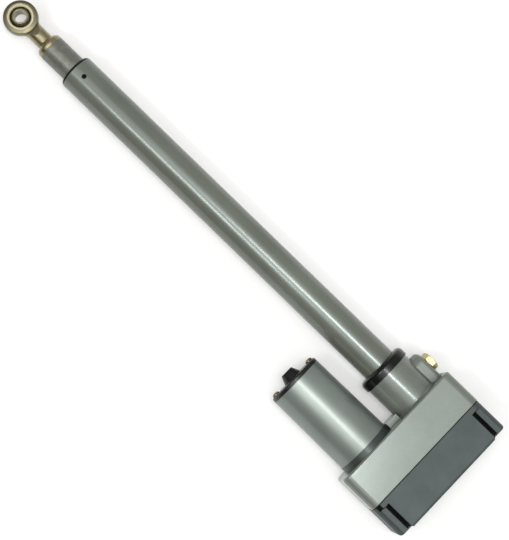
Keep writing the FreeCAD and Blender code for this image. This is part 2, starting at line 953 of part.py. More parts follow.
def make_gear_housing():
    """The casting: a box for the gears, a boss for the tube, a lug for its bolt and a seat for the motor."""
    body = new_body("gear_housing")
    shell = sketch_on(body, "case_outline", "YZ_Plane", lift=face)
    add_rounded_rectangle(shell, (case_low, -half_depth), (case_high, half_depth), d.case_round)
    pad(body, "case", shell, face - joint, backwards=True)
    fillet_where(body, "case_edges", d.case_edge, at_x(face))

    boss = sketch_on(body, "boss_profile", "XY_Plane")
    root_r = boss_r + d.boss_root
    anchor = face - d.front_wall / 2
    corners = [
        (anchor, 0),
        (boss_front, 0),
        (boss_front, boss_r),
        (face + d.boss_root, boss_r),
        (face, root_r),
        (anchor, root_r),
    ]
    add_loop(boss, corners)
    revolve(body, "boss", boss)

    lug = sketch_on(body, "lug_outline", "XZ_Plane")
    nose = lug_front - d.lug_half_width
    corners = [
        (anchor, -d.lug_half_width),
        (nose, -d.lug_half_width),
        (nose, free(d.lug_half_width)),
        (anchor, d.lug_half_width),
    ]
    add_loop(lug, corners, {1: (nose, 0, True)})
    pad(body, "lug", lug, lug_top)
    fillet_where(body, "lug_edges", d.lug_round, on_lug_rim)

    rib = sketch_on(body, "rib_outline", "YZ_Plane", lift=anchor)
    rib_high = motor_y - bell_r - d.loose_fit
    add_rectangle(rib, (boss_r - d.boss_root, -d.rib_half_height), (rib_high, d.rib_half_height))
    pad(body, "rib", rib, d.front_wall / 2 + d.rib_len)

    cavity = sketch_on(body, "cavity_outline", "YZ_Plane", lift=joint)
    add_rounded_rectangle(
        cavity, (cavity_low, -cavity_half), (cavity_high, cavity_half), cavity_round
    )
    pocket(body, "cavity", cavity, wall_in - joint, backwards=True)
    add_case_posts(body)
    bore_case(body)


def add_case_posts(body):
    """Posts for the cover screws, and the ledge and pillars that the bearing plate sits on."""
    into_wall = d.front_wall / 2
    posts = sketch_on(body, "post_circles", "YZ_Plane", lift=joint)
    for y, z in screw_places:
        add_circle(posts, y, z, d.post_d / 2)
    pad(body, "posts", posts, wall_in + into_wall - joint)
    seats = sketch_on(body, "plate_seats", "YZ_Plane", lift=plate_front)
    sunk = cavity_low - d.side_wall / 2
    add_rectangle(seats, (sunk, -d.ledge_half), (cavity_low + d.end_room, d.ledge_half))
    for y, z in plate_fixings[2:]:
        add_circle(seats, y, z, d.pillar_d / 2)
    pad(body, "plate_supports", seats, wall_in + into_wall - plate_front)


def bore_case(body):
    bores = sketch_on(body, "screw_bores", "XY_Plane")
    ahead = boss_front + d.spin_gap
    behind = wall_in - d.spin_gap
    corners = [
        (behind, 0),
        (ahead, 0),
        (ahead, seat_r),
        (tube_rear, seat_r),
        (tube_rear, screw_bush_r),
        (behind, screw_bush_r),
    ]
    add_loop(bores, corners)
    groove(body, "screw_bores_cut", bores)

    seat = sketch_on(body, "motor_holes", "YZ_Plane", lift=face)
    add_circle(seat, motor_y, 0, pilot_r)
    for side in (1, -1):
        add_circle(seat, motor_y + motor_bolt_y * side, 0, motor_bolt_r)
    pocket(body, "motor_holes_cut", seat, d.front_wall + d.end_play)

    axle = sketch_on(body, "axle_hole", "YZ_Plane", lift=wall_in)
    add_circle(axle, idler_y, 0, axle_r)
    pocket(body, "axle_hole_cut", axle, d.front_wall - d.axle_floor, backwards=True)

    bolt = sketch_on(body, "lock_bolt_hole", "XZ_Plane")
    add_circle(bolt, lock_bolt_x, 0, lock_bolt_r)
    pocket(body, "lock_bolt_hole_cut", bolt, lug_top, backwards=True)

    tapped = sketch_on(body, "cover_screw_holes", "YZ_Plane", lift=joint)
    for y, z in screw_places:
        add_circle(tapped, y, z, d.cover_screw_d / 2)
    bite = d.cover_screw_len - d.flange_len - d.gasket_thick
    pocket(body, "cover_screw_holes_cut", tapped, bite, backwards=True)

    small = sketch_on(body, "plate_screw_holes", "YZ_Plane", lift=plate_front)
    for y, z in plate_fixings:
        add_circle(small, y, z, d.plate_screw_d / 2)
    pocket(body, "plate_screw_holes_cut", small, d.plate_screw_len - d.plate_thick, backwards=True)


def make_tube_lock_bolt():
    """A hexagon-head bolt through the lug, whose tip bears on the tube."""
    body = new_body("tube_lock_bolt")
    head = sketch_on(body, "head_outline", "YZ_Plane", lift=lug_top)
    corner_r = d.lock_bolt_flats / math.sqrt(3)
    flat_half = d.lock_bolt_flats / 2
    corners = [
        (corner_r, 0),
        (corner_r / 2, flat_half),
        (-corner_r / 2, flat_half),
        (-corner_r, 0),
        (-corner_r / 2, -flat_half),
        (corner_r / 2, -flat_half),
    ]
    add_loop(head, corners)
    pad(body, "head", head, d.lock_bolt_head)
    shank = sketch_on(body, "shank_outline", "YZ_Plane", lift=seat_r)
    add_circle(shank, 0, 0, lock_bolt_r)
    pad(body, "shank", shank, lug_top - seat_r)
    place(body, (lock_bolt_x, 0, 0), ALONG_MINUS_Y)


def make_bearing_plate():
    """A steel plate across the case that carries the rear ends of the screw and the idler axle."""
    body = new_body("bearing_plate")
    outline = sketch_on(body, "plate_outline", "YZ_Plane", lift=plate_front)
    half = cavity_half - d.loose_fit
    tongue = d.ledge_half + d.end_play
    tip = cavity_low + d.loose_fit
    high = high_channel - d.post_d / 2 - d.loose_fit
    low = low_channel + d.post_d / 2 + d.loose_fit
    corners = [
        (tip, -tongue),
        (low, -tongue),
        (low, -half),
        (high, -half),
        (high, half),
        (low, half),
        (low, tongue),
        (tip, tongue),
    ]
    add_loop(outline, corners)
    add_circle(outline, 0, 0, journal_r + d.rear_bush_wall)
    add_circle(outline, idler_y, 0, axle_r)
    for y, z in plate_fixings:
        add_circle(outline, y, z, d.plate_screw_d / 2)
    pad(body, "plate", outline, d.plate_thick, backwards=True)


def headed_screws(label, places, head_front, shank_end, shank_d, head_d, head_thick):
    """Screws that point along +X, each with its head behind head_front."""
    pieces = []
    shank_r = shank_d / 2
    head_r = head_d / 2
    head_back = head_front - head_thick
    corners = [
        (head_back, 0),
        (shank_end, 0),
        (shank_end, shank_r),
        (head_front, shank_r),
        (head_front, head_r),
        (head_back, head_r),
    ]
    for i, (y, z) in enumerate(places, start=1):
        pieces.append(turned(f"{label}_{i}", corners, at=(0, y, z), listed=False))
    grouped(label, pieces)


def make_case_screws():
    plate_end = plate_rear + d.plate_screw_len
    head_d = d.plate_screw_d * 2 - d.loose_fit
    headed_screws(
        "plate_screws", plate_fixings, plate_rear, plate_end, d.plate_screw_d, head_d, d.plate_screw_head
    )
    cover_end = flange_rear + d.cover_screw_len
    headed_screws(
        "cover_screws",
        screw_places,
        flange_rear,
        cover_end,
        d.cover_screw_d,
        d.cover_screw_head_d,
        d.cover_screw_head,
    )


# Rear cover with its gasket and cable grommet

def make_cover_gasket():
    body = new_body("cover_gasket")
    sheet = sketch_on(body, "gasket_outline", "YZ_Plane", lift=joint)
    low = (cover_low, -(half_depth - d.cover_inset))
    high = (cover_high, half_depth - d.cover_inset)
    add_rounded_rectangle(sheet, low, high, d.case_round - d.cover_inset)
    add_rectangle(sheet, (bay_low, -bay_half), (bay_high, bay_half))
    for y, z in screw_places:
        add_circle(sheet, y, z, d.cover_screw_d / 2)
    pad(body, "gasket", sheet, d.gasket_thick, backwards=True)


def keyhole(sketch, y, side):
    """A slot from the cover's face down to a round screw channel."""
    shoulder = channel_z + root(channel_r * channel_r - slot_half * slot_half)
    outside = half_depth + d.spin_gap
    corners = [
        (y - slot_half, outside * side),
        (y - slot_half, shoulder * side),
        (y + slot_half, free(shoulder * side)),
        (y + slot_half, outside * side),
    ]
    add_loop(sketch, corners, {1: (y, channel_z * side, side > 0)})


def add_ear_end(sketch, inner, outer, away):
    """The space behind an ear and its slot, seen from above: away is 1 for the ear on the +Y side."""
    behind = cover_rear - d.spin_gap
    ear_rear = cover_rear + d.ear_short
    middle_x = ear_rear + d.ear_round
    edge = outer + d.end_play * away
    middle_y = edge - d.ear_round * away
    beyond = outer + d.spin_gap * away
    corners = [
        (behind, beyond),
        (middle_x, beyond),
        (middle_x, edge),
        (free(ear_rear), middle_y),
        (ear_rear, inner),
        (behind, inner - (d.ear_short + d.spin_gap) * away),
    ]
    add_loop(sketch, corners, {2: (middle_x, middle_y, away > 0)})


def make_end_cover():
    """A moulded cup over the limit switches, with ears, open screw channels and a pry notch."""
    body = new_body("end_cover")
    shell = sketch_on(body, "cover_outline", "YZ_Plane", lift=cover_front)
    add_rounded_rectangle(shell, (cover_low, -half_depth), (cover_high, half_depth), d.case_round)
    pad(body, "cover", shell, cover_depth, backwards=True)
    fillet_where(body, "cover_edges", d.cover_edge, at_x(cover_rear))

    bay = sketch_on(body, "bay_outline", "YZ_Plane", lift=cover_front)
    add_rectangle(bay, (bay_low, -bay_half), (bay_high, bay_half))
    pocket(body, "bay", bay, cover_depth - d.cover_wall)

    channels = sketch_on(body, "channel_outline", "YZ_Plane", lift=flange_rear)
    for y in (low_channel, high_channel):
        for side in (1, -1):
            keyhole(channels, y, side)
    pocket(body, "channels", channels, cover_depth - d.flange_len - d.ear_short - d.slot_web)
    entries = sketch_on(body, "channel_entries", "YZ_Plane", lift=cover_rear)
    for y, z in screw_places:
        add_circle(entries, y, z, channel_r)
    pocket(body, "channel_entries_cut", entries, d.ear_short + d.slot_web + d.end_play, backwards=True)

    past = half_depth + d.spin_gap
    ears = sketch_on(body, "ear_ends", "XY_Plane", lift=past)
    add_ear_end(ears, low_block, cover_low, -1)
    add_ear_end(ears, high_block, cover_high, 1)
    pocket(body, "ear_ends_cut", ears, past * 2)

    faces = sketch_on(body, "ear_faces", "YZ_Plane", lift=flange_rear)
    sunk = half_depth - d.ear_sink
    for low, high in ((cover_low - d.spin_gap, low_block), (high_block, cover_high + d.spin_gap)):
        add_rectangle(faces, (low, sunk), (high, past))
        add_rectangle(faces, (low, -past), (high, -sunk))
    pocket(body, "ear_faces_cut", faces, cover_depth)

    notch_high = cover_high - d.notch_inset
    for name, level, upwards in (("top", half_depth, False), ("bottom", -half_depth, True)):
        notch = sketch_on(body, f"notch_{name}", "XY_Plane", lift=level)
        add_rectangle(notch, (flange_rear, notch_high - d.notch_width), (cover_front, notch_high))
        pocket(body, f"notch_{name}_cut", notch, d.notch_depth, backwards=upwards)

    holes = sketch_on(body, "flange_holes", "YZ_Plane", lift=cover_front)
    for y, z in screw_places:
        add_circle(holes, y, z, d.cover_screw_d / 2)
    pocket(body, "flange_holes_cut", holes, d.flange_len)

    inlet = sketch_on(body, "grommet_hole", "YZ_Plane", lift=cover_rear)
    add_circle(inlet, grommet_y, 0, d.grommet_d / 2)
    pocket(body, "grommet_hole_cut", inlet, d.cover_wall, backwards=True)


def make_cable_grommet():
    """A blind rubber grommet in the cover's rear wall, where the lead would be pushed through."""
    neck_r = d.grommet_d / 2
    lip_r = neck_r + d.grommet_lip
    outside = cover_rear - d.grommet_thick
    wall_front = cover_rear + d.cover_wall
    dimple_r = neck_r / 2
    corners = [
        (cover_rear, 0),
        (wall_front + d.grommet_thick, 0),
        (wall_front + d.grommet_thick, neck_r),
        (wall_front, lip_r),
        (wall_front, neck_r),
        (cover_rear, neck_r),
        (cover_rear, lip_r),
        (outside, lip_r - d.grommet_thick / 2),
        (outside, dimple_r),
        (cover_rear, dimple_r / 2),
    ]
    turned("cable_grommet", corners, at=(0, grommet_y, 0))


# Motor

def add_bolt_holes(body, name, station, length, backwards):
    """Holes for the two through bolts, in a piece that is centred on the motor's axis."""
    holes = sketch_on(body, name, "YZ_Plane", lift=station)
    for side in (1, -1):
        add_circle(holes, motor_bolt_y * side, 0, motor_bolt_r)
    pocket(body, f"{name}_cut", holes, length, backwards)


def make_motor_shell():
    """The can between its front bell and its end cap, clamped by two through bolts."""
    corners = [
        (bell_rear, can_in_r),
        (can_rear, can_in_r),
        (can_rear, cap_r),
        (bell_rear, can_r),
    ]
    turned("motor_can", corners, at=on_motor_axis)

    corners = [
        (wall_in, shaft_bush_r),
        (bell_rear, shaft_bush_r),
        (bell_rear, bell_r),
        (face, bell_r),
        (face, pilot_r),
        (wall_in, pilot_r),
    ]
    bell = turned("motor_front_bell", corners, at=on_motor_axis)
    add_bolt_holes(bell, "bell_holes", bell_rear, d.bell_thick, False)

    corners = [
        (spigot_front, shaft_bush_r),
        (cap_bore_end, shaft_bush_r),
        (cap_bore_end, 0),
        (cone_top, 0),
        (cone_top, d.cone_top_d / 2),
        (cap_rear, d.cone_base_d / 2),
        (cap_rear, cap_r - d.cap_bevel),
        (cap_rear - d.cap_bevel, cap_r),
        (can_rear, cap_r),
        (can_rear, can_in_r),
        (spigot_front, can_in_r),
    ]
    cap = turned("motor_end_cap", corners, at=on_motor_axis)
    add_bolt_holes(cap, "cap_holes", cap_rear, d.cap_thick + d.cap_spigot, False)


def make_motor_bolts():
    head_r = d.motor_bolt_head_d / 2
    corners = [
        (wall_in, 0),
        (cap_rear + d.motor_bolt_head, 0),
        (cap_rear + d.motor_bolt_head, head_r),
        (cap_rear, head_r),
        (cap_rear, motor_bolt_r),
        (wall_in, motor_bolt_r),
    ]
    pieces = []
    for name, side in (("high", 1), ("low", -1)):
        at = (0, motor_y + motor_bolt_y * side, 0)
        pieces.append(turned(f"motor_bolt_{name}", corners, at=at, listed=False))
    grouped("motor_through_bolts", pieces)


def make_motor_bushes():
    running = shaft_r + d.run_fit
    front = ring(
        "motor_bush_front", wall_in, bell_rear, running, shaft_bush_r, at=on_motor_axis, listed=False
    )
    rear = ring(
        "motor_bush_rear", spigot_front, cap_rear, running, shaft_bush_r, at=on_motor_axis, listed=False
    )
    grouped("motor_bushes", [front, rear])


def sector(label, radius, first_angle):
    """A wedge of a cylinder along X, for one magnet."""
    piece = doc.addObject("Part::Cylinder", label)
    piece.setExpression("Radius", radius.text)
    piece.setExpression("Height", (core_len + d.magnet_overhang * 2).text)
    piece.setExpression("Angle", d.magnet_angle.text)
    along = Rotation(Vector(1, 1, 1), 120)
    place(piece, (core_front - d.magnet_overhang, motor_y, 0), along.multiply(Rotation(Vector(0, 0, 1), first_angle)))
    return piece


def make_magnets():
    pieces = []
    for name, middle in (("upper", 90), ("lower", 270)):
        first = middle - d.magnet_angle.value / 2
        segment = doc.addObject("Part::Cut", f"magnet_{name}")
        segment.Base = sector(f"magnet_{name}_outside", can_in_r, first)
        segment.Tool = sector(f"magnet_{name}_inside", can_in_r - d.magnet_thick, first)
        pieces.append(segment)
    grouped("motor_magnets", pieces)


def make_armature():
    """The shaft with its slotted core, coil heads and commutator."""
    rod("motor_shaft", fine_rear - d.end_play, cap_rear, shaft_r, at=on_motor_axis)
    body = new_body("armature_core")
    stack = sketch_on(body, "core_outline", "YZ_Plane", lift=core_front)
    add_circle(stack, 0, 0, core_r)
    add_circle(stack, 0, 0, shaft_r)
    pad(body, "core", stack, core_len)
    slot = sketch_on(body, "slot_outline", "YZ_Plane", lift=core_rear)
    half = d.slot_opening / 2
    add_rectangle(slot, (core_r - d.core_slot_depth, -half), (core_r + d.air_gap, half))
    first = pocket(body, "slot", slot, core_len)
    pattern = body.newObject("PartDesign::PolarPattern", "slots")
    pattern.Originals = [first]
    pattern.Axis = (plane_of(body, "X_Axis"), [""])
    pattern.Angle = 360
    pattern.setExpression("Occurrences", d.core_slots.text)
    body.Tip = pattern
    place(body, on_motor_axis)

    heads = []
    outside = core_r - d.winding_inset
    for name, back in (("front", core_front - d.winding_len), ("rear", core_rear)):
        front = back + d.winding_len
        label = f"winding_{name}"
        heads.append(ring(label, back, front, shaft_r, outside, at=on_motor_axis, listed=False))
    grouped("armature_windings", heads)
    ring(
        "commutator", commutator_front, commutator_rear, shaft_r, d.commutator_d / 2, at=on_motor_axis
    )


def make_brush_gear():
    inside = d.commutator_d / 2 + d.spin_gap
    plate = ring(
        "brush_plate", brush_plate_front, spigot_front, inside, can_in_r, at=on_motor_axis
    )
    add_bolt_holes(plate, "brush_plate_holes", spigot_front, d.brush_plate_thick, False)
    back = brush_plate_front - d.brush_len
    low_y = motor_y - d.brush_width / 2
    reach = d.commutator_d / 2 + d.loose_fit
    extent = (d.brush_len, d.brush_width, d.brush_height)
    upper = box("brush_upper", (back, low_y, reach), extent)
    lower = box("brush_lower", (back, low_y, -(reach + d.brush_height)), extent)
    grouped("carbon_brushes", [upper, lower])


# Limit switches, terminals and pulse sensor

shelf_top = -(d.cam_half_thick + d.switch_depth)
shelf_x = plate_rear - d.bracket_thick


def make_limit_bracket():
    """An angle on the back of the bearing plate, whose shelf carries the cam, switches and terminals."""
    body = new_body("limit_bracket")
    angle = sketch_on(body, "bracket_profile", "XZ_Plane", lift=-d.bracket_start)
    shelf_low = shelf_top - d.bracket_thick
    shelf_end = cam_x - cam_r - d.spin_gap
    corners = [
        (plate_rear, shelf_low - d.bracket_foot),
        (plate_rear, shelf_top),
        (shelf_end, shelf_top),
        (shelf_end, shelf_low),
        (shelf_x, shelf_low),
        (shelf_x, shelf_low - d.bracket_foot),
    ]
    add_loop(angle, corners)
    pad(body, "bracket", angle, d.bracket_len, backwards=True)


def make_limit_cam():
    """A worm-driven wheel that makes less than one turn over the stroke, with a lobe for the switches."""
    pivot_r = d.cam_axle_d / 2
    hub_r = pivot_r + d.cam_hub_wall
    top = d.cam_half_thick + d.cam_track
    at = (cam_x, cam_y, 0)
    rod("limit_cam_axle", shelf_top, top, pivot_r, at=at, axis=ALONG_Z)
    body = new_body("limit_cam")
    for name, level, radius, height in (
        ("hub", shelf_top + d.loose_fit, hub_r, d.switch_depth - d.loose_fit),
        ("rim", -d.cam_half_thick, cam_r, d.cam_half_thick * 2),
        ("track", d.cam_half_thick, cam_track_r, d.cam_track),
    ):
        circle = sketch_on(body, f"cam_{name}_outline", "XY_Plane", lift=level)
        add_circle(circle, 0, 0, radius)
        pad(body, f"cam_{name}", circle, height)
    lobe = sketch_on(body, "cam_lobe_outline", "XY_Plane", lift=d.cam_half_thick)
    add_circle(lobe, lobe_x, lobe_y, d.lobe_d / 2)
    pad(body, "cam_lobe", lobe, d.cam_track)
    bore = sketch_on(body, "cam_bore", "XY_Plane", lift=top)
    add_circle(bore, 0, 0, pivot_r + d.run_fit)
    pocket(body, "cam_bore_cut", bore, top - shelf_top)
    place(body, at)


def make_limit_switches():
    """Two snap switches on the shelf: the lobe reaches one plunger at each end of the stroke."""
    face_y = cam_y + cam_r + d.spin_gap
    tip_y = cam_y + lobe_y + d.lobe_d / 2 + d.loose_fit
    level = d.cam_half_thick + d.loose_fit
    plunger_d = d.cam_track - d.loose_fit * 2
    pieces = []
    for name, side in (("in", 1), ("out", -1)):
        middle = cam_x + lobe_x * side
        back = middle - d.switch_len / 2
        extent = (d.switch_len, d.switch_depth, d.switch_height)
        case = box(f"switch_{name}_case", (back, face_y, shelf_top), extent)
        small = (plunger_d, face_y - tip_y, plunger_d)
        button = box(f"switch_{name}_plunger", (middle - plunger_d / 2, tip_y, level), small)
        pieces.append(fused(f"switch_{name}", case, button, listed=False))
    grouped("limit_switches", pieces)


def make_terminal_block():
    body = new_body("terminal_block")
    face_y = d.bracket_start + d.bracket_len - d.terminal_depth
    back = cam_x - d.terminal_len / 2
    base = sketch_on(body, "block_outline", "XY_Plane", lift=shelf_top)
    add_rectangle(base, (back, face_y), (back + d.terminal_len, face_y + d.terminal_depth))
    pad(body, "block", base, d.terminal_height)
    bores = sketch_on(body, "terminal_bores", "XY_Plane", lift=shelf_top + d.terminal_height)
    pitch = d.terminal_len / d.terminal_count
    for i in range(SIZES["terminal_count"]):
        add_circle(bores, back + pitch / 2 + pitch * i, face_y + d.terminal_depth / 2, d.terminal_bore / 2)
    pocket(body, "terminal_bores_cut", bores, d.terminal_height / 2)


def make_sensor_board():
    """A small board on the bearing plate that holds the pulse sensor beside the magnet wheel."""
    near = -(d.magnet_wheel_d / 2 + d.board_gap)
    corner = (tail_end, near - d.board_thick, -d.board_half_width)
    board = box("board", corner, (plate_rear - tail_end, d.board_thick, d.board_half_width * 2))
    sensor_at = (tail_end, near, -d.board_half_width / 2)
    sensor = box("sensor", sensor_at, (d.magnet_wheel_thick, d.board_thick, d.board_half_width))
    fused("sensor_board", board, sensor)


def check_document():
    """Stop if any object failed to build, or a sub-part has no sound shape."""
    doc.recompute()
    for obj in doc.Objects:
        if {"Invalid", "Error"} & set(obj.State):
            raise ValueError(f"{obj.Label} failed to build: {obj.State}")
    for piece in sub_parts:
        if piece.Shape.isNull() or not piece.Shape.isValid():
            raise ValueError(f"{piece.Label} has no sound shape")


def main():
    make_outer_tube()
    make_tube_collar()
    make_guide_bush()
    make_wiper_seal()
    make_rod()
    make_rod_end()
    make_rod_end_bearing()
    make_lead_screw()
    make_screw_bearings()
    make_gears()
    make_idler_axle()
    make_gear_housing()
    make_tube_lock_bolt()
    make_bearing_plate()
    make_case_screws()
    make_cover_gasket()
    make_end_cover()
    make_cable_grommet()
    make_motor_shell()
    make_motor_bolts()
    make_motor_bushes()
    make_magnets()
    make_armature()
    make_brush_gear()
    make_limit_bracket()
    make_limit_cam()
    make_limit_switches()
    make_terminal_block()
    make_sensor_board()
    check_document()
    os.makedirs("parts", exist_ok=True)
    for piece in sub_parts:
        piece.Shape.exportStep(f"parts/{piece.Label}.step")


main()
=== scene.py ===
"""Looks of the dish actuator: materials, small fasteners, floor, lamps and camera."""
import math

import bmesh
import bpy
from mathutils import Matrix, Vector


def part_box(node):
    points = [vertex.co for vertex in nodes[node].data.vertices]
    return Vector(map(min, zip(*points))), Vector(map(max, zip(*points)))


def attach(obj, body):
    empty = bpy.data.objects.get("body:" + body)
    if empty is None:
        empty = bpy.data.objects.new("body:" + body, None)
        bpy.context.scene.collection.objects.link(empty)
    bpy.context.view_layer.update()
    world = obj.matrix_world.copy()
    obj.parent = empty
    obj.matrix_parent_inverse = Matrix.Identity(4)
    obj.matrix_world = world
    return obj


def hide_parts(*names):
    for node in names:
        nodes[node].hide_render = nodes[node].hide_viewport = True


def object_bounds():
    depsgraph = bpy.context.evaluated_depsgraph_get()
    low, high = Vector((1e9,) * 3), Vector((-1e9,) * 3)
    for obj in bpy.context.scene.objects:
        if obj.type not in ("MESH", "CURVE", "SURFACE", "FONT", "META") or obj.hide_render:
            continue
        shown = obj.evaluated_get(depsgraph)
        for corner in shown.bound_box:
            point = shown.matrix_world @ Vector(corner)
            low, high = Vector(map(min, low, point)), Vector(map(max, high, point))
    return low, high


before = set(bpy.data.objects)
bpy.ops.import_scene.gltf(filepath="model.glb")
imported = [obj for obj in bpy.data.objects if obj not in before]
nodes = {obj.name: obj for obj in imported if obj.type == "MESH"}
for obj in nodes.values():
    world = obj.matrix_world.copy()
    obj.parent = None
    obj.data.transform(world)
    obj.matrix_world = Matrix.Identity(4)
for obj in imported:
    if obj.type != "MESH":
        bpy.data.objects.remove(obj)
cad_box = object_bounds()

MM = 0.001
MICRON = 1e-6
TURN = 2 * math.pi
WHITE = (1, 1, 1, 1)


def grey(level):
    """A linear grey, 0 to 1, as a shader takes it."""
    return (level, level, level, 1)


def srgb(red, green, blue):
    """A screen colour, 0 to 255, as the linear colour that a shader takes."""
    linear = []
    for level in (red, green, blue):
        level /= 255
        linear.append(level / 12.92 if level <= 0.04045 else ((level + 0.055) / 1.055) ** 2.4)
    return (*linear, 1)


# Node trees

VECTOR = "ShaderNodeVectorMath"
# A Mix node repeats its sockets for each data type. These are the ones for colours.
MIX_FACTOR, MIX_FIRST, MIX_SECOND, MIX_RESULT = 0, 6, 7, 2
# Cosines between the rounded and the true normal, at an edge and on a face.
AT_EDGE, ON_FACE = 0.93, 0.995


class Graph:
    """A node tree with short ways to add nodes and join them."""

    def __init__(self, tree):
        self.tree = tree

    def feed(self, socket, value):
        """Links an output to the socket, or sets a constant on it."""
        if isinstance(value, bpy.types.NodeSocket):
            self.tree.links.new(value, socket)
        else:
            socket.default_value = value

    def add(self, kind, sockets=None, **settings):
        """A new node; sockets gives an output or a constant for each named or numbered input."""
        node = self.tree.nodes.new(kind)
        for name, value in settings.items():
            setattr(node, name, value)
        for socket, value in (sockets or {}).items():
            self.feed(node.inputs[socket], value)
        return node

    def calc(self, operation, *values, kind="ShaderNodeMath"):
        """The number that an operation gives; with kind VECTOR, on vectors."""
        return self.add(kind, dict(enumerate(values)), operation=operation).outputs["Value"]

    def spread(self, fac, low, high, start=0.3, end=0.7):
        """From low to high as fac goes from start to end, and level beyond them."""
        ends = {"From Min": start, "From Max": end, "To Min": low, "To Max": high}
        return self.add("ShaderNodeMapRange", {"Value": fac, **ends}).outputs["Result"]


class Look(Graph):
    """A material whose patterns are laid out in the object's own coordinates, in metres."""

    def __init__(self, name, **inputs):
        self.material = bpy.data.materials.new(name)
        self.material.use_nodes = True
        super().__init__(self.material.node_tree)
        self.shader = self.tree.nodes["Principled BSDF"]
        self.place = self.add("ShaderNodeTexCoord").outputs["Object"]
        for socket, value in inputs.items():
            self.give(socket.replace("_", " "), value)

    def give(self, socket, value):
        """Sets an input of the material's shader."""
        self.feed(self.shader.inputs[socket], value)

    def mapped(self, scale, shift=(0, 0, 0)):
        sockets = {"Vector": self.place, "Scale": scale, "Location": shift}
        return self.add("ShaderNodeMapping", sockets).outputs["Vector"]

    def noise(self, scale, detail, rough=0.55, stretch=None):
        place = self.mapped(stretch) if stretch else self.place
        sockets = {"Vector": place, "Scale": scale, "Detail": detail, "Roughness": rough}
        return self.add("ShaderNodeTexNoise", sockets).outputs["Fac"]

    def ramp(self, fac, stops):
        """Colours along fac; stops are (position, colour), the lowest first."""
        node = self.add("ShaderNodeValToRGB", {"Fac": fac})
        elements = node.color_ramp.elements
        while len(elements) < len(stops):
            elements.new(0.5)
        for element, (position, colour) in zip(elements, stops):
            element.position = position
            element.color = colour
        return node.outputs["Color"]

    def mixed(self, fac, first, second, kind="MIX"):
        """second over first as far as fac says; each is a colour or an output."""
        sockets = {MIX_FACTOR: fac, MIX_FIRST: first, MIX_SECOND: second}
        node = self.add("ShaderNodeMix", sockets, data_type="RGBA", blend_type=kind)
        return node.outputs[MIX_RESULT]

    def broken(self, clouds, fine, amount):
        """Slow clouds with some of a finer pattern added."""
        return self.calc("ADD", clouds, self.spread(fine, -amount, amount))

    def bevelled(self, radius, samples):
        """The normal as if the edges were rounded to radius."""
        return self.add("ShaderNodeBevel", {"Radius": radius}, samples=samples).outputs["Normal"]

    def edges(self, radius):
        """About 1 along the convex and concave edges and 0 on the faces."""
        true = self.add("ShaderNodeNewGeometry").outputs["Normal"]
        cosine = self.calc("DOT_PRODUCT", self.bevelled(radius, samples=4), true, kind=VECTOR)
        return self.spread(cosine, 1, 0, AT_EDGE, ON_FACE)

    def crevices(self, reach, deep, shallow):
        """About 1 deep in slots and holes of the piece itself, and 0 in the open: an occlusion mask
        that places painted shade.
        """
        node = self.add("ShaderNodeAmbientOcclusion", {"Distance": reach}, samples=6, only_local=True)
        return self.spread(node.outputs["AO"], 1, 0, deep, shallow)

    def ring(self, middle, inner, outer, fade):
        """About 1 between two radii round a Z axis through middle, and 0 inside and outside."""
        flat = self.mapped((1, 1, 0), (-middle[0], -middle[1], 0))
        radius = self.calc("LENGTH", flat, kind=VECTOR)
        past_inner = self.spread(radius, 0, 1, inner - fade, inner + fade)
        before_outer = self.spread(radius, 1, 0, outer - fade, outer + fade)
        return self.calc("MULTIPLY", past_inner, before_outer)

    def bump(self, layers, round_edges=0.0):
        """layers are (height, depth in metres), the coarsest first."""
        normal = self.bevelled(round_edges, samples=8) if round_edges else None
        for height, depth in layers:
            sockets = {"Height": height, "Distance": depth}
            if normal:
                sockets["Normal"] = normal
            normal = self.add("ShaderNodeBump", sockets).outputs["Normal"]
        self.give("Normal", normal)


# Kinds of finish. A noise's scale is in patches to the metre, and rough is the least roughness.

ALONG_X = (18, 900, 900)
ROUND_X = (2600, 30, 30)


def painted(name, dark, pale, rough, **inputs):
    """Sprayed paint on steel: slow clouds of colour, orange peel and fine scuffs along X."""
    look = Look(name, **inputs)
    clouds = look.noise(scale=14, detail=4)
    scuffs = look.noise(scale=1, detail=2, stretch=ALONG_X)
    specks = look.noise(scale=1900, detail=2)
    peel, grain = look.noise(scale=240, detail=2), look.noise(scale=1500, detail=2)
    tint = look.ramp(clouds, [(0.3, dark), (0.7, pale)])
    specked = look.ramp(specks, [(0.35, grey(0.93)), (0.65, WHITE)])
    tint = look.mixed(look.spread(scuffs, 0.4, 0.9), tint, specked, "MULTIPLY")
    look.give("Base Color", tint)
    look.give("Roughness", look.spread(scuffs, rough, rough + 0.06))
    look.bump([(peel, 8 * MICRON), (grain, 1.5 * MICRON)])
    return look.material


def turned_metal(name, dark, pale, rough, lines=ROUND_X, depth=3 * MICRON, edge=0.0, **inputs):
    """Bare metal with fine lines left by turning or grinding, and slow clouds of tarnish."""
    look = Look(name, **inputs)
    clouds = look.noise(scale=160, detail=5)
    marks = look.noise(scale=1, detail=3, stretch=lines)
    grain = look.noise(scale=900, detail=3)
    tint = look.ramp(look.broken(clouds, marks, 0.12), [(0.32, dark), (0.68, pale)])
    look.give("Base Color", tint)
    look.give("Roughness", look.spread(marks, rough, rough + 0.12))
    look.bump([(grain, depth), (marks, depth)], edge)
    return look.material


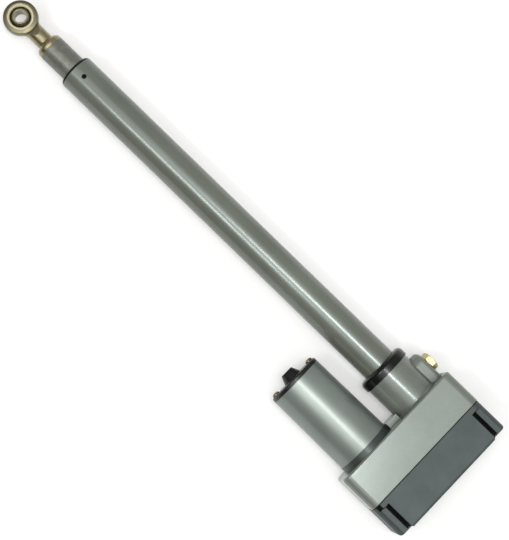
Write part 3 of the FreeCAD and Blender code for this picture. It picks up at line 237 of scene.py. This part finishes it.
def moulded(
    name, dark, pale, rough, grain=1500, depth=12 * MICRON, edge=0.0, edge_tint=None, painted_shade=None,
    **inputs,
):
    """Moulded plastic or rubber with a spark-eroded grain; it may have painted shade along its edges
    and in its slots.
    """
    look = Look(name, **inputs)
    clouds = look.noise(scale=40, detail=4)
    skin = look.noise(scale=grain, detail=3)
    coarse = look.noise(scale=grain / 4, detail=2)
    tint = look.ramp(look.broken(clouds, skin, 0.1), [(0.3, dark), (0.7, pale)])
    dull = look.spread(skin, rough, rough + 0.14)
    # A dark edge tint is painted shade along the edges.
    if edge_tint:
        tint = look.mixed(look.edges(radius=1.4 * MM), tint, edge_tint)
    if painted_shade:
        # Painted shade: slots and holes are darkened through an occlusion mask, and made rougher there.
        slots = look.crevices(reach=14 * MM, deep=0.58, shallow=0.95)
        tint = look.mixed(slots, tint, painted_shade)
        dull = look.calc("ADD", dull, look.spread(slots, 0, 0.4, 0, 1))
    look.give("Base Color", tint)
    look.give("Roughness", dull)
    look.bump([(coarse, depth), (skin, depth)], edge)
    return look.material


def cast(name, dark, pale, rough, edge_tint, painted_shade, **inputs):
    """Painted die casting: a pebbled skin with dark pores, rubbed edges, and painted shade in its inner
    corners.
    """
    look = Look(name, **inputs)
    clouds = look.noise(scale=22, detail=5)
    pebbles = look.noise(scale=1100, detail=4, rough=0.6)
    pores = look.noise(scale=2300, detail=2)
    waves = look.noise(scale=260, detail=3)
    # Painted shade: the casting's inner corners are darkened through an occlusion mask.
    corners = look.crevices(reach=24 * MM, deep=0.35, shallow=0.72)
    tint = look.ramp(look.broken(clouds, pebbles, 0.06), [(0.3, dark), (0.7, pale)])
    porous = look.ramp(pores, [(0.3, grey(0.86)), (0.5, WHITE)])
    tint = look.mixed(look.spread(clouds, 0.35, 0.9), tint, porous, "MULTIPLY")
    tint = look.mixed(look.edges(radius=0.8 * MM), tint, edge_tint)
    look.give("Base Color", look.mixed(corners, tint, painted_shade))
    worn = look.spread(pebbles, rough, rough + 0.1)
    look.give("Roughness", look.calc("ADD", worn, look.spread(corners, 0, 0.35, 0, 1)))
    look.bump([(waves, 12 * MICRON), (pebbles, 4 * MICRON)], 0.5 * MM)
    return look.material


def plated(name, stops, rough, edge=0.35 * MM, rings=(), **inputs):
    """Plated steel whose film drifts through stops, over a faintly forged skin.

    rings are (middle, inner radius, outer radius, colour) of paler or darker bands round an axis.
    """
    look = Look(name, Metallic=1.0, **inputs)
    drift = look.noise(scale=95, detail=5, rough=0.6)
    film = look.noise(scale=420, detail=3)
    forged, grain = look.noise(scale=380, detail=4), look.noise(scale=2400, detail=2)
    tint = look.ramp(look.broken(drift, film, 0.1), stops)
    for middle, inner, outer, hue in rings:
        tint = look.mixed(look.ring(middle, inner, outer, fade=0.5 * MM), tint, hue)
    look.give("Base Color", tint)
    look.give("Roughness", look.spread(film, rough, rough + 0.16))
    look.bump([(forged, 24 * MICRON), (grain, 5 * MICRON)], edge)
    return look.material


# Materials, and the nodes that wear them

SHEEN = (0.885, 1.0, 0.965, 1)
ZINC_STOPS = [
    (0.26, srgb(146, 133, 95)),
    (0.42, srgb(171, 157, 112)),
    (0.58, srgb(190, 179, 138)),
    (0.74, srgb(157, 153, 115)),
]
ROD_END_STOPS = [
    (0.26, srgb(116, 112, 92)),
    (0.42, srgb(142, 129, 96)),
    (0.58, srgb(156, 145, 112)),
    (0.74, srgb(130, 128, 106)),
]
RACE_STOPS = [(0.3, srgb(112, 108, 88)), (0.7, srgb(140, 136, 112))]
EYE_MIDDLE = (506.6 * MM, 0)
EYE_RINGS = [(EYE_MIDDLE, 14.2 * MM, 19.5 * MM, srgb(100, 94, 71))]
RACE_RINGS = [(EYE_MIDDLE, 12.0 * MM, 13.7 * MM, srgb(188, 182, 158))]

tube_paint = painted(
    "tube_paint", srgb(86, 89, 80), srgb(98, 102, 92), 0.215,
    Specular_IOR_Level=0.85, Specular_Tint=SHEEN,
)
motor_paint = painted(
    "motor_paint", srgb(115, 122, 116), srgb(131, 139, 133), 0.33, Metallic=0.5
)
black_enamel = painted(
    "black_enamel", srgb(42, 48, 46), srgb(54, 60, 58), 0.3,
    Specular_IOR_Level=0.5, Specular_Tint=SHEEN,
)
# The casting's darker inner corners are painted shade.
cast_paint = cast(
    "cast_paint", srgb(96, 101, 92), srgb(110, 116, 107), 0.155,
    edge_tint=srgb(104, 104, 93), painted_shade=srgb(52, 55, 50),
    Specular_IOR_Level=0.8, Specular_Tint=SHEEN,
)
yellow_zinc = plated("yellow_zinc", ZINC_STOPS, 0.26)
dull_zinc = plated("dull_zinc", ROD_END_STOPS, 0.34)
forged_zinc = plated(
    "forged_zinc", ROD_END_STOPS, 0.27, edge=1.6 * MM, rings=EYE_RINGS,
    Coat_Weight=0.5, Coat_Roughness=0.15,
)
race_steel = plated("race_steel", RACE_STOPS, 0.24, edge=0.5 * MM, rings=RACE_RINGS)
# The cover's dark edges and black slots are painted shade.
cover_skin = moulded(
    "cover_skin", srgb(54, 61, 60), srgb(66, 73, 73), 0.42, edge=0.4 * MM,
    edge_tint=srgb(26, 29, 29), painted_shade=srgb(4, 5, 5),
    Specular_IOR_Level=0.4, Specular_Tint=SHEEN,
)
rubber = moulded(
    "rubber", srgb(9, 9, 8), srgb(17, 17, 15), 0.17, grain=900, depth=6 * MICRON,
    Specular_IOR_Level=0.3,
)
dull_rubber = moulded(
    "dull_rubber", srgb(5, 6, 5), srgb(11, 12, 10), 0.55, grain=900, depth=8 * MICRON,
    Specular_IOR_Level=0.2,
)
black_plastic = moulded(
    "black_plastic", srgb(12, 12, 12), srgb(21, 21, 21), 0.28, edge=0.3 * MM,
    Specular_IOR_Level=0.35,
)
white_plastic = moulded(
    "white_plastic", srgb(208, 208, 200), srgb(222, 222, 214), 0.34, edge=0.2 * MM
)
ferrite = moulded(
    "ferrite", srgb(40, 41, 44), srgb(58, 59, 62), 0.55, grain=2600, edge=0.2 * MM
)
carbon = moulded("carbon", srgb(24, 24, 25), srgb(44, 44, 45), 0.5, grain=3000)
green_board = moulded(
    "green_board", srgb(20, 74, 48), srgb(34, 96, 62), 0.28, grain=2000, depth=6 * MICRON
)
rod_chrome = turned_metal(
    "rod_chrome", srgb(96, 97, 89), srgb(114, 115, 106), 0.28, Metallic=0.35, Specular_Tint=SHEEN
)
black_oxide = turned_metal(
    "black_oxide", srgb(14, 16, 15), srgb(26, 29, 27), 0.3, Metallic=1.0
)
bright_steel = turned_metal(
    "bright_steel", srgb(150, 148, 138), srgb(186, 184, 172), 0.2, Metallic=1.0
)
ball_steel = turned_metal(
    "ball_steel", srgb(110, 103, 82), srgb(144, 136, 109), 0.2, lines=(60, 60, 2600),
    edge=0.3 * MM, Metallic=1.0,
)
sheet_steel = turned_metal(
    "sheet_steel", srgb(140, 142, 142), srgb(170, 172, 171), 0.36, lines=(30, 700, 30),
    Metallic=1.0,
)
gear_steel = turned_metal(
    "gear_steel", srgb(96, 98, 100), srgb(132, 133, 134), 0.3, lines=(900, 300, 300),
    edge=0.15 * MM, Metallic=1.0,
)
bronze = turned_metal("bronze", srgb(150, 112, 62), srgb(190, 150, 92), 0.32, Metallic=1.0)
copper = turned_metal(
    "copper", srgb(160, 84, 48), srgb(206, 124, 78), 0.26, lines=(40, 2400, 2400),
    depth=15 * MICRON, Metallic=1.0,
)

FINISHES = {
    tube_paint: ("outer_tube",),
    motor_paint: ("motor_can",),
    rod_chrome: ("inner_tube",),
    cast_paint: ("gear_housing",),
    cover_skin: ("end_cover",),
    rubber: ("tube_collar", "cable_grommet"),
    dull_rubber: ("wiper_seal", "cover_gasket"),
    black_plastic: ("motor_end_cap", "limit_switches", "brush_plate", "limit_cam"),
    black_enamel: ("motor_front_bell",),
    black_oxide: ("bush_grub_screw",),
    forged_zinc: ("rod_end",),
    yellow_zinc: ("tube_lock_bolt", "motor_through_bolts", "cover_screws"),
    ball_steel: ("rod_end_ball",),
    race_steel: ("rod_end_race",),
    bright_steel: (
        "lead_screw", "idler_axle", "motor_shaft", "plate_screws", "idler_washers",
        "screw_stop_disc", "gear_spacer", "limit_worm", "limit_cam_axle",
    ),
    sheet_steel: ("bearing_plate", "limit_bracket", "armature_core"),
    gear_steel: ("drive_gear", "idler_gear", "motor_pinion", "screw_thrust_washer"),
    bronze: ("screw_front_bush", "screw_rear_bush", "lead_nut", "motor_bushes"),
    white_plastic: ("guide_bush", "terminal_block"),
    ferrite: ("motor_magnets", "magnet_wheel"),
    copper: ("armature_windings", "commutator"),
    carbon: ("carbon_brushes",),
    green_board: ("sensor_board",),
}
for finish, names in FINISHES.items():
    for name in names:
        for material_slot in nodes[name].material_slots:
            material_slot.material = finish


# Shapes of the detail pieces, built about local Z

def frame_along(point, axis):
    """A matrix that puts local Z along axis and the origin at point."""
    axis = Vector(axis).normalized()
    turn = Vector((0, 0, 1)).rotation_difference(axis)
    return Matrix.Translation(Vector(point)) @ turn.to_matrix().to_4x4()


def linked(name, bm):
    """An object of the scene from a bmesh, which is used up."""
    mesh = bpy.data.meshes.new(name)
    bm.to_mesh(mesh)
    bm.free()
    obj = bpy.data.objects.new(name, mesh)
    bpy.context.scene.collection.objects.link(obj)
    return obj


def drop(obj):
    """Removes a temporary object with its mesh."""
    mesh = obj.data
    bpy.data.objects.remove(obj)
    bpy.data.meshes.remove(mesh)


def loft(bm, rings):
    """Faces between closed rings of equal length, with a cap on each end ring."""
    rows = [[bm.verts.new(point) for point in ring] for ring in rings]
    for low, high in zip(rows, rows[1:]):
        count = len(low)
        for i in range(count):
            j = (i + 1) % count
            bm.faces.new((low[i], low[j], high[j], high[i]))
    bm.faces.new(list(reversed(rows[0])))
    bm.faces.new(rows[-1])


def polar(radius, angle, height):
    return (radius * math.cos(angle), radius * math.sin(angle), height)


def circle(radius, height, count):
    """Points round local Z, anticlockwise."""
    return [polar(radius, TURN * i / count, height) for i in range(count)]


def lathe(bm, profile, count):
    """A solid turned from (height, radius) pairs, the lowest first, with flat ends."""
    loft(bm, [circle(radius, height, count) for height, radius in profile])


RINGS_TO_A_PITCH = 8
FLANK_SLOPE, CREST_SHARE = 2.2, 0.28
RUN_OUT = 2


def thread(bm, low, high, crest, root, pitch, count=28):
    """A closed right-hand screw thread that runs out at each end."""
    total = max(2, round((high - low) / pitch * RINGS_TO_A_PITCH))
    rings = []
    for k in range(total + 1):
        height = low + (high - low) * k / total
        end = min(k, total - k) / RINGS_TO_A_PITCH
        ring = []
        for i in range(count):
            phase = (height / pitch - i / count) % 1.0
            flank = FLANK_SLOPE * (abs(phase - 0.5) * 2 - CREST_SHARE)
            cut = (crest - root) * min(1.0, max(0.0, flank)) * min(1.0, end * RUN_OUT)
            radius = crest - cut if 0 < k < total else root
            ring.append(polar(radius, TURN * i / count, height))
        rings.append(ring)
    loft(bm, rings)


def solid(name, build):
    """A temporary object from a function that fills a bmesh, in local coordinates."""
    bm = bmesh.new()
    build(bm)
    bmesh.ops.recalc_face_normals(bm, faces=bm.faces)
    return linked(name, bm)


def cylinder(name, low, high, radius, count):
    return solid(name, lambda bm: lathe(bm, [(low, radius), (high, radius)], count))


def hexagon(name, low, high, flats):
    """A hexagonal bar, flats being its width across flats."""
    rings = [circle(flats / math.sqrt(3), height, 6) for height in (low, high)]
    return solid(name, lambda bm: loft(bm, rings))


def boolean(base, tool, operation):
    """Cuts base by tool or keeps what lies inside tool, which is used up."""
    modifier = base.modifiers.new("boolean", "BOOLEAN")
    modifier.operation = operation
    modifier.solver = "EXACT"
    modifier.object = tool
    shape = base.evaluated_get(bpy.context.evaluated_depsgraph_get())
    mesh = bpy.data.meshes.new_from_object(shape)
    base.modifiers.clear()
    old = base.data
    base.data = mesh
    bpy.data.meshes.remove(old)
    drop(tool)


SHARP_ANGLE = math.radians(32)


def merge(name, parts, matrix, finish, body, slot, *stands_for):
    """Puts finished local objects into one piece, with what it rides on and stands for."""
    bm = bmesh.new()
    for part in parts:
        bm.from_mesh(part.data)
        drop(part)
    bm.transform(matrix)
    piece = linked(name, bm)
    piece.data.shade_smooth()
    piece.data.set_sharp_from_angle(angle=SHARP_ANGLE)
    piece.data.materials.append(finish)
    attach(piece, body)
    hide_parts(*stands_for)


# Cross-recessed pan-head screws. Shares are of the head's radius or height.

DOME_STEPS = 7
SEAT_SHARE, RIM_SHARE, EDGE_SHARE, CROWN_SHARE = 0.97, 0.25, 0.34, 0.04
RECESS_WIDTH, RECESS_LENGTH, RECESS_DEPTH = 0.26, 1.15, 0.55
RECESS_TAPER, RECESS_TURN = 0.45, 0.4
ROOT_SHARE = 0.82
HEAD_SIDES, SHANK_SIDES = 40, 28


def dome(radius, height):
    """(height, radius) pairs of a pan head from its seat to its crown, with a small flat on top."""
    edge = height * EDGE_SHARE
    pairs = [(0.0, radius * SEAT_SHARE), (edge * RIM_SHARE, radius)]
    for i in range(DOME_STEPS + 1):
        angle = math.pi / 2 * i / DOME_STEPS
        rise = edge + (height - edge) * math.sin(angle)
        pairs.append((rise, max(radius * math.cos(angle), radius * CROWN_SHARE)))
    return pairs


def recess_bar(bm, head_r, head_h, turn):
    """One arm pair of a cross recess: a tapered bar that reaches down into the head."""
    width, length, depth = head_r * RECESS_WIDTH, head_r * RECESS_LENGTH, head_h * RECESS_DEPTH
    rings = []
    for height, grow in ((head_h - depth, RECESS_TAPER), (head_h + depth, 1.0)):
        ring = []
        for side_x, side_y in ((1, 1), (-1, 1), (-1, -1), (1, -1)):
            point = Vector((side_x * length / 2 * grow, side_y * width / 2, height))
            point.rotate(Matrix.Rotation(turn, 3, "Z"))
            ring.append(point)
        rings.append(ring)
    loft(bm, rings)


def cross_screw(name, seat, axis, size, shank_len, thread_len, finish, slot, node):
    """A screw whose head stands along axis from its seat, with a threaded end.

    size is its (head radius, head height, shank radius, pitch).
    """
    head_r, head_h, shank_r, pitch = size
    head = solid(name, lambda bm: lathe(bm, dome(head_r, head_h), HEAD_SIDES))
    for turn in (RECESS_TURN, math.pi / 2 + RECESS_TURN):
        bar = solid("recess", lambda bm: recess_bar(bm, head_r, head_h, turn))
        boolean(head, bar, "DIFFERENCE")
    parts = [head]
    plain = shank_len - thread_len
    if plain > 0:
        parts.append(cylinder("shank", -plain, 0.0, shank_r, SHANK_SIDES))
    root = shank_r * ROOT_SHARE
    parts.append(solid("thread", lambda bm: thread(bm, -shank_len, -plain, shank_r, root, pitch)))
    merge(name, parts, frame_along(seat, axis), finish, "case", slot, node)


def motor_bolts():
    """The two long motor bolts, whose heads face forwards."""
    low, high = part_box("motor_through_bolts")
    size = (4 * MM, 3 * MM, 2.5 * MM, 0.8 * MM)
    head_r, head_h = size[:2]
    thread_len = 14 * MM
    seat_x = high.x - head_h
    for label, y in (("low", low.y + head_r), ("high", high.y - head_r)):
        cross_screw(
            f"motor_through_bolt_{label}", (seat_x, y, 0), (1, 0, 0), size, seat_x - low.x,
            thread_len, dull_zinc, "yellow_zinc", "motor_through_bolts",
        )


def cover_screws():
    """The cover's screws, whose heads face backwards."""
    low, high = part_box("cover_screws")
    size = (3.5 * MM, 2.6 * MM, 2 * MM, 0.7 * MM)
    head_r, head_h = size[:2]
    seat_x = low.x + head_h
    shank_len = high.x - seat_x
    rows = low.y + head_r, high.y - head_r
    columns = low.z + head_r, high.z - head_r
    places = [(y, z) for y in rows for z in columns]
    for count, (y, z) in enumerate(places, start=1):
        cross_screw(
            f"cover_screw_{count}", (seat_x, y, z), (-1, 0, 0), size, shank_len, shank_len,
            yellow_zinc, "yellow_zinc", "cover_screws",
        )


def plate_screws():
    """The bearing plate's screws: two on the casting's ledges and two on its pillars."""
    low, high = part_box("plate_screws")
    size = (2.85 * MM, 2 * MM, 1.5 * MM, 0.5 * MM)
    head_r, head_h = size[:2]
    ledge_y, ledge_z = low.y + head_r, 10.95 * MM
    pillar_y, pillar_z = high.y - head_r, high.z - head_r
    seat_x = low.x + head_h
    shank_len = high.x - seat_x
    places = [
        (ledge_y, ledge_z), (ledge_y, -ledge_z), (pillar_y, pillar_z), (pillar_y, -pillar_z),
    ]
    for count, (y, z) in enumerate(places, start=1):
        cross_screw(
            f"plate_screw_{count}", (seat_x, y, z), (-1, 0, 0), size, shank_len, shank_len,
            bright_steel, "bright_steel", "plate_screws",
        )


def lock_bolt():
    """The hexagon lock bolt on the lug, with its head along -Y."""
    low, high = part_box("tube_lock_bolt")
    flats, head_h, washer_face, chamfer = 17 * MM, 6.4 * MM, 0.5 * MM, 1.3 * MM
    washer_r, top_r = flats * 0.47, flats * 0.475
    past_corner = flats / math.sqrt(3) * 1.02
    shank_r, thread_depth, pitch, neck = 5 * MM, 0.9 * MM, 1.5 * MM, 3 * MM
    sides, washer_sides, crown_sides = 32, 48, 72
    seat = ((low.x + high.x) / 2, low.y + head_h, 0)
    shank_len = high.y - seat[1]
    head = hexagon("hexagon", washer_face, head_h, flats)
    envelope = [(-MM, past_corner), (head_h - chamfer, past_corner), (head_h, top_r)]
    boolean(head, solid("crown", lambda bm: lathe(bm, envelope, crown_sides)), "INTERSECT")
    washer = cylinder("washer", 0.0, washer_face, washer_r, washer_sides)
    plain_neck = cylinder("neck", -neck, 0.0, shank_r, sides)
    root = shank_r - thread_depth
    bite = solid("bite", lambda bm: thread(bm, -shank_len, -neck, shank_r, root, pitch, sides))
    merge(
        "lock_bolt", [head, washer, plain_neck, bite], frame_along(seat, (0, -1, 0)),
        yellow_zinc, "case", "yellow_zinc", "tube_lock_bolt",
    )


def grub_screw():
    """The grub screw with its hexagon socket."""
    low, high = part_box("bush_grub_screw")
    radius, bevel = 2.5 * MM, 0.4 * MM
    tip_r, top_r = radius * 0.7, radius * 0.86
    socket_flats, socket_depth = 2.5 * MM, 2 * MM
    tall = high.z - low.z
    profile = [(0.0, tip_r), (bevel, radius), (tall - bevel, radius), (tall, top_r)]
    grub = solid("grub", lambda bm: lathe(bm, profile, HEAD_SIDES))
    boolean(grub, hexagon("key", tall - socket_depth, tall + MM, socket_flats), "DIFFERENCE")
    merge(
        "grub_screw", [grub], Matrix.Translation(((low.x + high.x) / 2, 0, low.z)),
        black_oxide, "case", "black_paint", "bush_grub_screw",
    )


def lead_screw():
    """The lead screw with its real thread."""
    low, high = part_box("lead_screw")
    crest, root, lead = 7.9375 * MM, 6.45 * MM, 3.175 * MM
    tail_r, journal_r, tip_r = 4 * MM, 6 * MM, 5 * MM
    tail_end, start, end = -85.6 * MM, -39.4 * MM, 315.6 * MM
    sides, thread_sides = 32, 24
    stages = [
        cylinder("tail", low.x, tail_end, tail_r, sides),
        cylinder("journal", tail_end, start, journal_r, sides),
        solid("helix", lambda bm: thread(bm, start, end, crest, root, lead, thread_sides)),
        cylinder("tip", end, high.x, tip_r, sides),
    ]
    merge(
        "lead_screw_threaded", stages, frame_along((0, 0, 0), (1, 0, 0)),
        bright_steel, "screw", "bright_steel", "lead_screw",
    )


motor_bolts()
cover_screws()
plate_screws()
lock_bolt()
grub_screw()
lead_screw()


# The floor: it glows a little where it is seen directly, so that it ends in white

FLOOR_LEVEL = cad_box[0].z - 0.05 * MM
FLOOR_HALF = 8.0
FLOOR_TINT = (0.66, 0.656, 0.646, 1)
NEAR, FAR = 0.8, 2.6
NEAR_GLOW, FAR_GLOW = 0.29, 0.62

bm = bmesh.new()
corners = [(-1, -1), (1, -1), (1, 1), (-1, 1)]
bm.faces.new([bm.verts.new((x * FLOOR_HALF, y * FLOOR_HALF, FLOOR_LEVEL)) for x, y in corners])
floor = linked("floor", bm)
white_floor = Look(
    "floor_white", Base_Color=FLOOR_TINT, Roughness=0.9, Specular_IOR_Level=0.1,
    Emission_Color=WHITE,
)
rays = white_floor.add("ShaderNodeLightPath").outputs
seen = rays["Is Camera Ray"]
for name in ("Is Glossy Ray", "Is Transmission Ray"):
    seen = white_floor.calc("MAXIMUM", seen, rays[name])
from_middle = white_floor.calc("LENGTH", white_floor.place, kind=VECTOR)
glow = white_floor.spread(from_middle, NEAR_GLOW, FAR_GLOW, NEAR, FAR)
white_floor.give("Emission Strength", white_floor.calc("MULTIPLY", seen, glow))
floor.data.materials.append(white_floor.material)


# The surroundings: brighter on one side, with a soft glow overhead

DIM_SIDE, BRIGHT_SIDE = 0.05, 0.56
BRIGHT_AXIS = Vector((0.0, -0.9, 0.4)).normalized()
OVERHEAD, OVERHEAD_EDGE, OVERHEAD_FALL = 2.2, 0.72, 1.5
OVERHEAD_AXIS = Vector((-0.12, 0.13, 1)).normalized()

scene = bpy.context.scene
world = bpy.data.worlds.new("studio")
scene.world = world
world.use_nodes = True
studio = Graph(world.node_tree)
direction = studio.add("ShaderNodeTexCoord").outputs["Generated"]


def facing(axis, start, low, high):
    """Rises from low to high as the direction turns from a cosine of start towards axis."""
    cosine = studio.calc("DOT_PRODUCT", direction, axis, kind=VECTOR)
    return studio.spread(cosine, low, high, start, 1)


sides = facing(BRIGHT_AXIS, -1, DIM_SIDE, BRIGHT_SIDE)
overhead = studio.calc("POWER", facing(OVERHEAD_AXIS, OVERHEAD_EDGE, 0, 1), OVERHEAD_FALL)
background = studio.tree.nodes["Background"].inputs
studio.feed(background["Color"], WHITE)
studio.feed(background["Strength"], studio.calc("MULTIPLY_ADD", overhead, OVERHEAD, sides))


# Lamps: name, place, what it points at, (length along X, breadth) and watts

LAMPS = [
    ("key", (0.04, 0.08, 1.69), (0.06, 0, 0), (0.5, 0.2), 8.4),
    ("second", (0.4, 0.72, 1.54), (0.2, 0, 0), (0.55, 0.2), 6.2),
    ("panel", (-0.26, 0.0, 1.75), (-0.07, 0.05, 0), (0.8, 0.7), 0.6),
]


def looking(at, right, up, back):
    """A matrix for a lamp or a camera at a place that looks away from back."""
    return Matrix.Translation(at) @ Matrix((right, up, back)).transposed().to_4x4()


for name, at, towards, size, watts in LAMPS:
    data = bpy.data.lights.new(name, "AREA")
    data.shape = "RECTANGLE"
    data.size, data.size_y = size
    data.energy = watts
    lamp = bpy.data.objects.new(name, data)
    back = (Vector(at) - Vector(towards)).normalized()
    along = (Vector((1, 0, 0)) - back * back.x).normalized()
    lamp.matrix_world = looking(at, along, back.cross(along), back)
    lamp.visible_camera = False
    scene.collection.objects.link(lamp)


# The camera, fitted to the photograph

SENSOR, FAR_CLIP = 36, 50
FOCAL_PIXELS, LONG_SIDE = 1531, 540
EYE = Vector((0.096, 0.183, 1.536))
AIM = Vector((0.1565, 0.0185, 0.0))
PHOTO_UP = Vector((0.6959, -0.7181, 0.0))

scene.view_settings.view_transform = "Standard"
camera_data = bpy.data.cameras.new("camera")
camera_data.sensor_width = SENSOR
camera_data.lens = SENSOR * FOCAL_PIXELS / LONG_SIDE
camera_data.clip_end = FAR_CLIP
camera = bpy.data.objects.new("camera", camera_data)
scene.collection.objects.link(camera)
back = (EYE - AIM).normalized()
right = PHOTO_UP.cross(back).normalized()
camera.matrix_world = looking(EYE, right, back.cross(right), back)
scene.camera = camera

bpy.context.view_layer.update()
